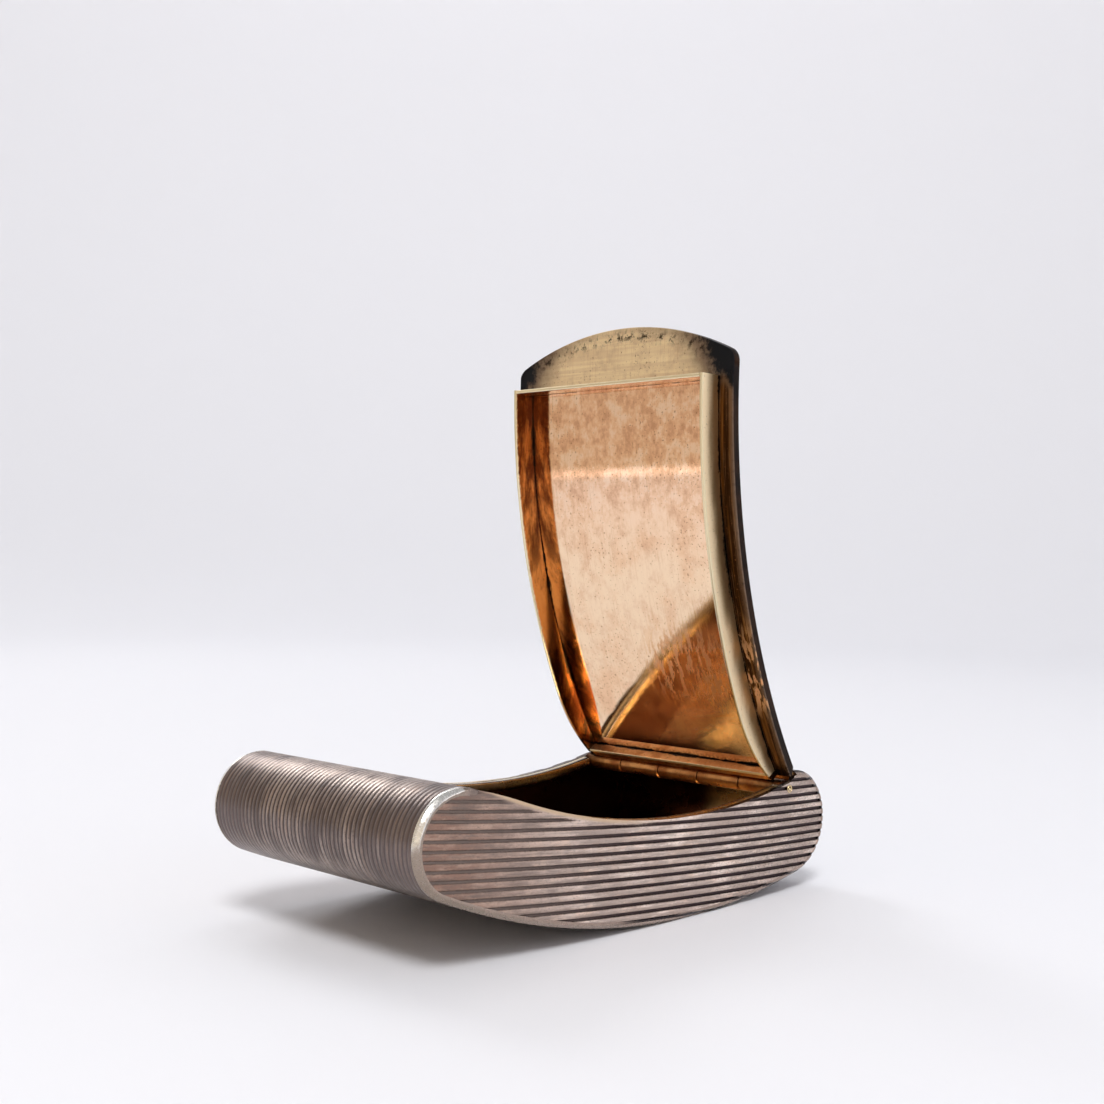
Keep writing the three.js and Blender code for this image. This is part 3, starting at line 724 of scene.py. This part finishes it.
# Lid plate
# A curved sheet that ends in a bowed thumb lip. Its outside is reeded silver. Its inside is gilt: a
# polished panel inside the bezel, brown ledges outside it, and a duller lip whose corners have gone black.
lid_half = 20.1
lip_bow = 4.8
lip_corner = 2.0
lid_break = 0.12  # chamfer round the inner face
lid_reeds = 46
lid_reed_depth = 0.1
lid_border = 1.2  # plain strip outside the reeds
lid_wear = 0.4
bezel_side_ledge = 2.35
bezel_wall = 0.5
lid_rows = 110
lip_blend = 0.3  # half the length over which the panel's finish becomes the lip's
ledge_on_lip = 0.3  # share of the ledges' brown that runs on along the lip
black_place = (0.8, 1.4)  # in from the lid's side and from the lip's edge, where a corner is blackest
corner_black = 0.6  # how far the black goes there, and the brown round it
corner_brown = 0.45
black_reach = 3.9  # distances over which the two die away
brown_reach = 8.5
left_reach = 0.8  # the left corner's reach as a share of the right's
black_start = (-2.5, 0.3)  # ahead of the front strip, over which both set in
lip_stain = 0.22  # faint brown along the lip's edge
lip_stain_run = 3.2
side_stain = 0.5  # darker brown along the lid's sides
side_stain_run = (0.1, 1.2)
lid_layer = 40.0  # third axis of the grain, apart from the other pieces'
spot_line = 1.3  # from the lip's edge to the middle of a line of black spots
spot_spread = 0.6
spot_half = (14, 17)  # to each side, over which the line ends
seam_half = (0.24, 0.38)  # from a strip's middle, over which the black dots along its solder end
rose_span = (30, 52)  # from the rear edge, over which the panel turns redder
scuff_start = (9, 14)  # from the rear edge, over which the matt flecks begin, and then end
scuff_end = (18, 27)
dullness = 0.26  # added to the lip's roughness, and a fifth more to the ledges'
polish_bump = 0.0000025  # metres

panel_gold = (0.94, 0.71, 0.49)
panel_rose = (0.94, 0.585, 0.378)
panel_cloud = (0.84, 0.50, 0.29)
mottle_brown = (0.68, 0.38, 0.23)
rose_bright = (1.0, 0.76, 0.58)
rose_dark = (0.60, 0.32, 0.19)
lip_gold = (0.86, 0.67, 0.44)
lip_rubbed = (1.0, 0.82, 0.54)
lip_brown = (0.64, 0.46, 0.31)
ledge_dark = (0.036, 0.015, 0.005)
ledge_brown = (0.23, 0.105, 0.028)
speck_brown = (0.26, 0.11, 0.05)
scratch_brown = (0.64, 0.38, 0.22)
tarnish_brown = (0.19, 0.13, 0.095)
tarnish_black = (0.017, 0.018, 0.022)
spot_black = (0.03, 0.022, 0.016)
fleck_gold = (0.80, 0.47, 0.25)
solder_black = (0.035, 0.02, 0.012)


def lip_reach(y):
    """How far the lip's edge lies ahead of or behind the line where the bow leaves the sides: a shallow
    arc across the lid, with a small arc at each corner that touches it and the side."""
    bow_radius = (lid_half**2 + lip_bow**2) / (2 * lip_bow)
    corner_y = lid_half - lip_corner
    reach = bow_radius - lip_corner
    corner_x = bow_radius - lip_bow - np.sqrt(reach**2 - corner_y**2)
    bow = bow_radius - lip_bow - np.sqrt(bow_radius**2 - np.minimum(np.abs(y), lid_half) ** 2)
    beyond = np.clip(np.abs(y) - corner_y, 0, lip_corner)
    corner = corner_x - np.sqrt(lip_corner**2 - beyond**2)
    return np.where(np.abs(y) > corner_y * bow_radius / reach, corner, bow)


def polished_lid(name):
    """The lid's gilding. The panel is pale gold with fine lengthwise scratches and brown specks, redder
    and patchy where the rose attribute is high and flecked with matt spots where the scuff attribute is.
    The lip attribute makes it paler with crosswise rubbing, and the ledge attribute streaky brown. The
    tarnish attribute browns it and then blackens it in flecks. The bow attribute dots it black along the
    lip and the seam attribute along the solder. The dull attribute adds to its roughness."""
    made, tree = metal(name)
    grain = attribute(tree, "grain", "Vector")
    rose = attribute(tree, "rose")
    cloud = noise(tree, grain, 0.16, 5.0, 0.65)
    speck = noise(tree, grain, 2.7, 3.0, 0.62)
    scratch = noise(tree, stretched(tree, grain, (0.10, 6.0, 1.0)), 1.0, 4.0, 0.65)
    streak = noise(tree, stretched(tree, grain, (0.05, 1.6, 1.0)), 1.0, 4.0, 0.6)
    rubbing = noise(tree, stretched(tree, grain, (1.6, 0.07, 1.0)), 1.0, 4.0, 0.6)
    flecks = noise(tree, grain, 0.9, 6.0, 0.75)
    mottle = noise(tree, stretched(tree, grain, (0.8, 1.0, 1.0)), 0.42, 8.0, 0.74)
    matt = noise(tree, stretched(tree, grain, (0.30, 1.15, 1.0)), 1.0, 5.0, 0.62)
    waves = noise(tree, stretched(tree, grain, (1.0, 0.6, 1.0)), 0.4, 2.0, 0.5)
    skin = mix(tree, rose, panel_gold, panel_rose)
    skin = mix(tree, ramp(tree, cloud, 0.42, 0.70, 0.0, 0.6), skin, panel_cloud)
    skin = mix(tree, ramp(tree, mottle, 0.44, 0.66, 0.0, 0.42), skin, mottle_brown)
    bright = times(tree, ramp(tree, mottle, 0.52, 0.40), rose)
    skin = mix(tree, times(tree, bright, 0.85), skin, rose_bright)
    clouded = times(tree, ramp(tree, mottle, 0.50, 0.66, 0.0, 0.65), rose)
    skin = mix(tree, clouded, skin, rose_dark)
    pale = mix(tree, ramp(tree, rubbing, 0.36, 0.64), lip_gold, lip_rubbed)
    pale = mix(tree, ramp(tree, mottle, 0.44, 0.66, 0.0, 0.5), pale, lip_brown)
    skin = mix(tree, attribute(tree, "lip"), skin, pale)
    brown = mix(tree, ramp(tree, streak, 0.48, 0.70), ledge_dark, ledge_brown)
    skin = mix(tree, attribute(tree, "ledge"), skin, brown)
    dots = times(tree, speck, ramp(tree, cloud, 0.35, 0.65, -0.03, 0.03), "ADD")
    skin = mix(tree, ramp(tree, dots, 0.62, 0.68, 0.0, 0.8), skin, speck_brown)
    skin = mix(tree, ramp(tree, scratch, 0.54, 0.72, 0.0, 0.6), skin, scratch_brown)
    halo = times(tree, attribute(tree, "tarnish"), ramp(tree, cloud, 0.3, 0.7, -0.08, 0.08), "ADD")
    skin = mix(tree, ramp(tree, halo, 0.04, 0.55, 0.0, 0.9), skin, tarnish_brown)
    ragged = times(tree, halo, ramp(tree, flecks, 0.25, 0.75, -0.24, 0.24), "ADD")
    skin = mix(tree, ramp(tree, ragged, 0.4, 0.95), skin, tarnish_black)
    spots = times(tree, attribute(tree, "bow"), ramp(tree, flecks, 0.52, 0.57))
    skin = mix(tree, spots, skin, spot_black)
    flecked = times(tree, ramp(tree, matt, 0.49, 0.53), attribute(tree, "scuff"))
    skin = mix(tree, flecked, skin, fleck_gold)
    dotted = times(tree, attribute(tree, "seam"), ramp(tree, speck, 0.44, 0.56))
    skin = mix(tree, dotted, skin, solder_black)
    rough = times(tree, ramp(tree, scratch, 0.3, 0.75, 0.02, 0.07), attribute(tree, "dull"), "ADD")
    rough = times(tree, rough, times(tree, flecked, 0.3), "ADD")
    wire_up(tree, skin, rough, times(tree, waves, scratch, "ADD"), polish_bump)
    return made


lid_gilt = polished_lid("lid_gilt")
lid_silver = aged_silver("lid_silver", crest=(0.36, 0.295, 0.26), blotch=(0.165, 0.127, 0.117),
                         groove=(0.06, 0.05, 0.05), warm=(0.36, 0.265, 0.21), worn=(0.36, 0.295, 0.26),
                         roughness=0.36)
lid_edge = tarnished_gilt("lid_edge", gold=(0.034, 0.016, 0.009), stain=(0.012, 0.008, 0.007), roughness=0.4)

reeded_half = lid_half - lid_border
lid_pitch = 2 * reeded_half / lid_reeds
reed_columns = ((np.arange(lid_reeds)[:, None] + band_phases) * lid_pitch).ravel() - reeded_half
margin = np.array([0, 0.02, 0.06, lid_break, 0.25, 0.45, 0.7, 0.95]) - lid_half
lid_y = np.concatenate([margin, reed_columns, [reeded_half], -margin[::-1]])
across_reeds = np.clip(lid_y + reeded_half, 0, 2 * reeded_half)
relief, lid_crest = reeds(across_reeds, lid_pitch, lid_reed_depth, band_groove)
on_border = np.abs(lid_y) > reeded_half
relief = np.where(on_border, 0, relief)
lid_crest = np.where(on_border, 1, lid_crest)
lid_bevel = hinge + (to_lid - to_rear) * knuckle_reach
outer_rear = heading_of(hinge + (to_lid - to_rear) * (abs(hinge) - lid_outer))
along_lid = np.append(np.linspace(0, 1 - lid_break / body_length, lid_rows - 1), 1)[:, None]
inner_front = bow_angle + np.arcsin(lip_reach(lid_y) / lid_inner)
outer_front = bow_angle + np.arcsin(lip_reach(lid_y) / lid_outer)
inner_angle = lid_rear + (inner_front - lid_rear) * along_lid
outer_angle = outer_rear + (outer_front - outer_rear) * along_lid
side_fall = np.clip(np.abs(lid_y) - lid_half + lid_break, 0, None)
edge_fall = np.maximum(side_fall, lid_break * (along_lid == 1))
inner_side = (lid_inner - edge_fall) * heading(inner_angle)
inner_side = np.concatenate([np.broadcast_to(lid_bevel, lid_y.shape)[None], inner_side])
reed_end = np.clip((1 - along_lid) * body_length / lid_border, 0, 1) ** 2
outer_side = (lid_outer + relief * reed_end) * heading(outer_angle)
outer_side = np.concatenate([outer_side[:1], outer_side])

lid_angle = np.concatenate([inner_angle[:1], inner_angle])
from_rear = (lid_rear - lid_angle) * rim_radius
from_edge = (lid_angle - inner_front) * rim_radius
from_middle = np.abs(lid_y) + 0 * lid_angle
before_bezel = (bezel_front_angle - lid_angle) * rim_radius
bezel_outside = lid_half - bezel_side_ledge
lip = soft_step(before_bezel, -lip_blend, lip_blend)
ledge = soft_step(from_middle, bezel_outside - 0.3, bezel_outside + 0.2) * (1 - (1 - ledge_on_lip) * lip)
corner_gap = np.hypot(from_middle - lid_half + black_place[0], from_edge - black_place[1])
corner_gap = corner_gap / np.where(lid_y < 0, 1.0, left_reach)
tarnish = corner_black * np.exp(-((corner_gap / black_reach) ** 2))
tarnish = tarnish + corner_brown * np.exp(-((corner_gap / brown_reach) ** 2))
tarnish = tarnish * soft_step(before_bezel, *black_start)
tarnish = tarnish + lip_stain * lip * fade(from_edge, 0, lip_stain_run)
tarnish = tarnish + side_stain * fade(lid_half - from_middle, *side_stain_run)
to_side_strip = np.abs(from_middle - bezel_outside + bezel_wall / 2)
to_front_strip = np.abs(before_bezel + bezel_wall / 2)
seam = fade(np.minimum(to_side_strip, to_front_strip), *seam_half)
seam = seam * (from_middle < bezel_outside + 0.3) * (before_bezel < -1)
scuff = soft_step(from_rear, *scuff_start) * fade(from_rear, *scuff_end)
lid_values = {
    "crest": np.broadcast_to(lid_crest, lid_angle.shape),
    "grain": np.stack(np.broadcast_arrays(from_rear, lid_y, lid_layer), -1),
    "wear": np.full(lid_angle.shape, lid_wear),
    "rose": soft_step(from_rear, *rose_span),
    "scuff": scuff * fade(lid_y, -4, 3),
    "lip": lip,
    "ledge": ledge,
    "seam": np.maximum(seam, fade(from_rear, 1.4, 2.4)),
    "tarnish": tarnish,
    "bow": np.exp(-(((from_edge - spot_line) / spot_spread) ** 2)) * fade(from_middle, *spot_half),
    "dull": dullness * np.maximum(lip, 1.2 * ledge),
}
sheet("lid_shell", stood(outer_side, lid_y, True), stood(inner_side, lid_y, True), body="lid",
      slot="bright_gilt", replaced=["lid_plate"], finishes=[lid_silver, lid_gilt, lid_edge],
      values=lid_values)

# Bezel
# Four gilt strips soldered on the lid's inner face, which drop inside the mouth with a friction fit.
# Their rims are rubbed pale, and old snuff and painted shade lie along their roots. Painted shade also
# darkens their outer faces towards the lid, clouds their inner faces and blackens the left strip's rear
# foot. The side strips come down to the lower rear strip.
bezel_rear_height = 1.75
bezel_taper = 12  # length over which the side strips come down
bezel_rear_setback = 2.4  # from the hinge axis
bezel_root = 0.05
bezel_corner = 0.16
front_shade = 0.92  # how far painted shade darkens the side strips' inner faces at the front, and at the rear
rear_shade = 0.68
front_shade_run = (26, 50)  # from the rear strip, over which the first begins and the second ends
rear_shade_run = (14, 28)
end_shade = 0.5  # how far painted shade darkens the front and rear strips' inner faces
foot_shade = 0.95  # how far painted shade blackens the left strip at its rear end
foot_run = (2, 13)  # from the rear strip, over which that ends
root_dirt_and_shade = (0.03, 0.018, 0.011)
rim_pale = (0.80, 0.69, 0.47)
outer_roughness = 0.42


def bezel_gilding(name, gold, root_shade, inside, shade, inner_roughness, dirt=0.08):
    """Gilding on a strip. Its outer face is satin gold that darkens in clouds towards the lid, a painted
    shade where the strip meets it. Its inner face, where the inner attribute is high, is bright, with clouds
    of the shade colour, painted shade, where the shading attribute is high. The rim attribute is the share
    of
    the way up: the rim is rubbed pale, and black dirt and painted shade lie along the strip's base up to
    the dirt's share."""
    made, tree = metal(name)
    place = add(tree, "ShaderNodeTexCoord").outputs["Object"]
    cloud = noise(tree, stretched(tree, place, (1.0, 1.0, 0.3)), 320.0, 5.0, 0.65)
    speck = noise(tree, place, 2300.0, 3.0, 0.65)
    inner = attribute(tree, "inner")
    height = times(tree, attribute(tree, "rim"), ramp(tree, speck, 0.25, 0.75, -0.04, 0.04), "ADD")
    dulled = times(tree, height, ramp(tree, cloud, 0.3, 0.7, -0.13, 0.13), "ADD")
    outside = mix(tree, ramp(tree, dulled, 0.2, 0.85), root_shade, gold)
    aged = times(tree, attribute(tree, "shading"), ramp(tree, cloud, 0.3, 0.7, -0.45, 0.45), "ADD")
    skin = mix(tree, inner, outside, mix(tree, ramp(tree, aged, 0.1, 0.9), inside, shade))
    skin = mix(tree, ramp(tree, speck, 0.60, 0.72, 0.0, 0.6), skin, darkened(root_shade, 0.4))
    skin = mix(tree, ramp(tree, dulled, dirt - 0.1, dirt), root_dirt_and_shade, skin)
    skin = mix(tree, ramp(tree, height, 0.90, 0.98), skin, rim_pale)
    rough = ramp(tree, inner, 0.2, 0.8, outer_roughness, inner_roughness)
    rough = times(tree, rough, ramp(tree, cloud, 0.3, 0.7, -0.04, 0.06), "ADD")
    wire_up(tree, skin, rough, speck, scratch_bump)
    return made


bezel_gilt = bezel_gilding("bezel_gilt", gold=(0.86, 0.69, 0.45), root_shade=(0.47, 0.33, 0.17),
                           inside=(0.66, 0.29, 0.085), shade=(0.09, 0.024, 0.006), inner_roughness=0.16)
front_bezel_gilt = bezel_gilding("front_bezel_gilt", gold=(0.80, 0.70, 0.49), root_shade=(0.26, 0.17, 0.075),
                                 inside=(0.86, 0.58, 0.30), shade=(0.62, 0.34, 0.15), inner_roughness=0.2)
rear_bezel_gilt = bezel_gilding("rear_bezel_gilt", gold=(0.62, 0.32, 0.12), root_shade=(0.20, 0.08, 0.03),
                                inside=(0.86, 0.50, 0.26), shade=(0.60, 0.28, 0.12), inner_roughness=0.35,
                                dirt=0.22)
bezel_rear_angle = hinge_angle - bezel_rear_setback / rim_radius
bezel_inside = bezel_outside - bezel_wall

across, up = rounded_section(bezel_wall, bezel_height - bezel_root, bezel_corner)
strip_angles = np.linspace(bezel_front_angle, bezel_rear_angle, 80)[:, None]
strip_run = (bezel_rear_angle - strip_angles) * rim_radius
tapered = np.clip(1 - strip_run / bezel_taper, 0, 1) ** 2
lowered = (bezel_height - bezel_rear_height) * tapered * (up > bezel_height / 2)
strip_side = (lid_inner + bezel_root + up - lowered) * heading(strip_angles)
strip_shading = front_shade * soft_step(strip_run, *front_shade_run)
strip_shading = strip_shading + rear_shade * fade(strip_run, *rear_shade_run)
# The left strip's rim value drops towards its rear end, so that the black base colour paints shade over its
# foot.
strip_foot_shade = foot_shade * fade(strip_run, *foot_run)
for hand, sign in hands:
    strip_values = {
        "inner": np.broadcast_to(across / bezel_wall, strip_side.shape),
        "shading": strip_shading + 0 * up,
        "rim": up / up.max() * (1 - strip_foot_shade * (hand == "left")),
    }
    tube(f"bezel_strip_{hand}", stood(strip_side, sign * (bezel_outside - across), True), bezel_gilt,
         body="lid", slot="bright_gilt", replaced=[f"bezel_{hand}"], values=strip_values)

end_y = np.linspace(-bezel_inside, bezel_inside, 24)[:, None]
for end, start, height, finish, slot in (
    ("front", bezel_front_angle, bezel_height, front_bezel_gilt, "bright_gilt"),
    ("rear", bezel_rear_angle - bezel_wall / rim_radius, bezel_rear_height, rear_bezel_gilt, "dark_gilt"),
):
    across, up = rounded_section(bezel_wall, height - bezel_root, bezel_corner)
    end_side = (lid_inner + bezel_root + up) * heading(start + across / rim_radius)
    end_values = {
        "inner": np.abs(across / bezel_wall - (end == "rear")) + 0 * end_y,
        "shading": end_shade + 0 * up + 0 * end_y,
        "rim": up / up.max() + 0 * end_y,
    }
    tube(f"bezel_strip_{end}", stood(end_side, end_y, True), finish, body="lid", slot=slot,
         replaced=[f"bezel_{end}"], values=end_values)

# Lid hinge rail
# A gilt bar soldered under the lid's rear edge, between the rear strip and the knuckles, that carries the
# lid's two tubes. Its ends are black with old snuff.
lid_rail_height = 1.3
lid_rail_corner = 0.12
lid_rail_length = bezel_rear_setback - knuckle_reach - bezel_root
lid_rail_run = np.array([-1, -0.93, 0.93, 1])[:, None]  # shares of half its length
across, up = rounded_section(lid_rail_length, lid_rail_height, lid_rail_corner)
lid_rail_angle = bezel_rear_angle + (bezel_root + across) / rim_radius
lid_rail_side = (lid_inner + bezel_root + up) * heading(lid_rail_angle)
tube("lid_bar", stood(lid_rail_side, lid_rail_run * bezel_outside, True), hinge_gilt, body="lid",
     slot="dark_gilt", replaced=["lid_hinge_rail"], values={"depth": (np.abs(lid_rail_run) == 1) + 0 * up})

# Floor and light
# A plain pale floor that curves up into a wall, a soft key light high behind the camera, weaker ones from
# behind, from the right and on the wall, and a pale sky. To the left the paper ends in a strip painted
# whiter and made to glow a little, a painted pool of light, and the wall beyond it is duller, as a room
# is. The lid mirrors that strip.
floor_rings = [0, 0.15, 0.35]  # metres, and so are the other lengths here
floor_radius = 0.62
floor_curve = 0.5
wall_top = 1.5
paper_edge = -0.39
lit_strip_width = 0.055  # width of the white strip, a painted pool of light
lit_strip_blur = 0.012
room_blur = 0.006
paper_pale = (0.805, 0.81, 0.85)
lit_strip_white = (0.98, 0.97, 0.97)
room_brown = (0.74, 0.665, 0.56)
glow_colour = (1, 0.98, 0.95, 1)
glow_strength = 0.34
paper_roughness = 0.7
paper_gloss = 0.2
sky_colour = (0.97, 0.98, 1.0, 1)
sky_strength = 0.455


def sweep_points(turns, rows):
    """A bowl: a flat disc, a quarter circle and an upright wall, turned about the vertical."""
    bend = np.linspace(0, np.pi / 2, rows)
    curve_out = floor_radius + floor_curve * np.sin(bend)
    curve_up = floor_curve * (1 - np.cos(bend))
    out = np.concatenate([floor_rings, curve_out, [floor_radius + floor_curve]])[:, None]
    up = np.concatenate([np.zeros(len(floor_rings)), curve_up, [wall_top]])[:, None]
    turn = np.linspace(0, 2 * np.pi, turns, endpoint=False)
    return np.stack([out * np.cos(turn), out * np.sin(turn), up + 0 * turn], -1)


bowl = sweep_points(96, 24)
bowl_index = np.arange(bowl.shape[0] * bowl.shape[1]).reshape(bowl.shape[:2])
bowl_index = np.append(bowl_index, bowl_index[:, :1], axis=1)
sweep_mesh = bpy.data.meshes.new("sweep")
sweep_mesh.from_pydata(bowl.reshape(-1, 3).tolist(), [], grid_quads(bowl_index).tolist())
sweep_mesh.shade_smooth()
paper = bpy.data.materials.new("pale_paper")
paper.use_nodes = True
paper_tree = paper.node_tree
paper_place = add(paper_tree, "ShaderNodeTexCoord").outputs["Object"]
paper_x = add(paper_tree, "ShaderNodeSeparateXYZ", {0: paper_place}).outputs["X"]
lit_strip_start = paper_edge + lit_strip_width
# The strip along the paper's edge is whiter and glows: a painted pool of light.
lit_strip = ramp(paper_tree, paper_x, lit_strip_start + lit_strip_blur, lit_strip_start)
room = ramp(paper_tree, paper_x, paper_edge + room_blur, paper_edge - room_blur)
paper_tone = mix(paper_tree, lit_strip, paper_pale, lit_strip_white)
paper_tone = mix(paper_tree, room, paper_tone, room_brown)
glow = times(paper_tree, times(paper_tree, lit_strip, room, "SUBTRACT"), glow_strength)
paper_shader = paper_tree.nodes["Principled BSDF"]
paper_tree.links.new(paper_tone, paper_shader.inputs["Base Color"])
paper_tree.links.new(glow, paper_shader.inputs["Emission Strength"])
paper_shader.inputs["Emission Color"].default_value = glow_colour
paper_shader.inputs["Roughness"].default_value = paper_roughness
paper_shader.inputs["Specular IOR Level"].default_value = paper_gloss
sweep_mesh.materials.append(paper)
sweep = bpy.data.objects.new("sweep", sweep_mesh)
bpy.context.scene.collection.objects.link(sweep)


def soft_light(name, place, target, size, watts, spread=180):
    """A round soft box at a place, turned to face a target."""
    light = bpy.data.objects.new(name, bpy.data.lights.new(name, "AREA"))
    light.data.shape = "DISK"
    light.data.size = size
    light.data.energy = watts
    light.data.spread = radians(spread)
    bpy.context.scene.collection.objects.link(light)
    light.location = place
    light.rotation_euler = (Vector(place) - Vector(target)).to_track_quat("Z", "Y").to_euler()


soft_light("key_light", place=(-0.517, -0.481, 0.908), target=(0, 0, 0), size=0.36, watts=7.7)
soft_light("wall_light", place=(0.35, 0.35, 1.0), target=(0.9, 0.9, 0.25), size=0.6, watts=2.35)
soft_light("rear_light", place=(0.16, 0.80, 0.63), target=(0, 0, 0), size=0.4, watts=0.52, spread=100)
soft_light("side_light", place=(0.50, -0.62, 0.30), target=(0, 0, 0.01), size=0.4, watts=0.12, spread=100)

sky = bpy.data.worlds.new("sky")
bpy.context.scene.world = sky
sky.use_nodes = True
sky.node_tree.nodes["Background"].inputs["Color"].default_value = sky_colour
sky.node_tree.nodes["Background"].inputs["Strength"].default_value = sky_strength
bpy.context.scene.view_settings.view_transform = "Standard"
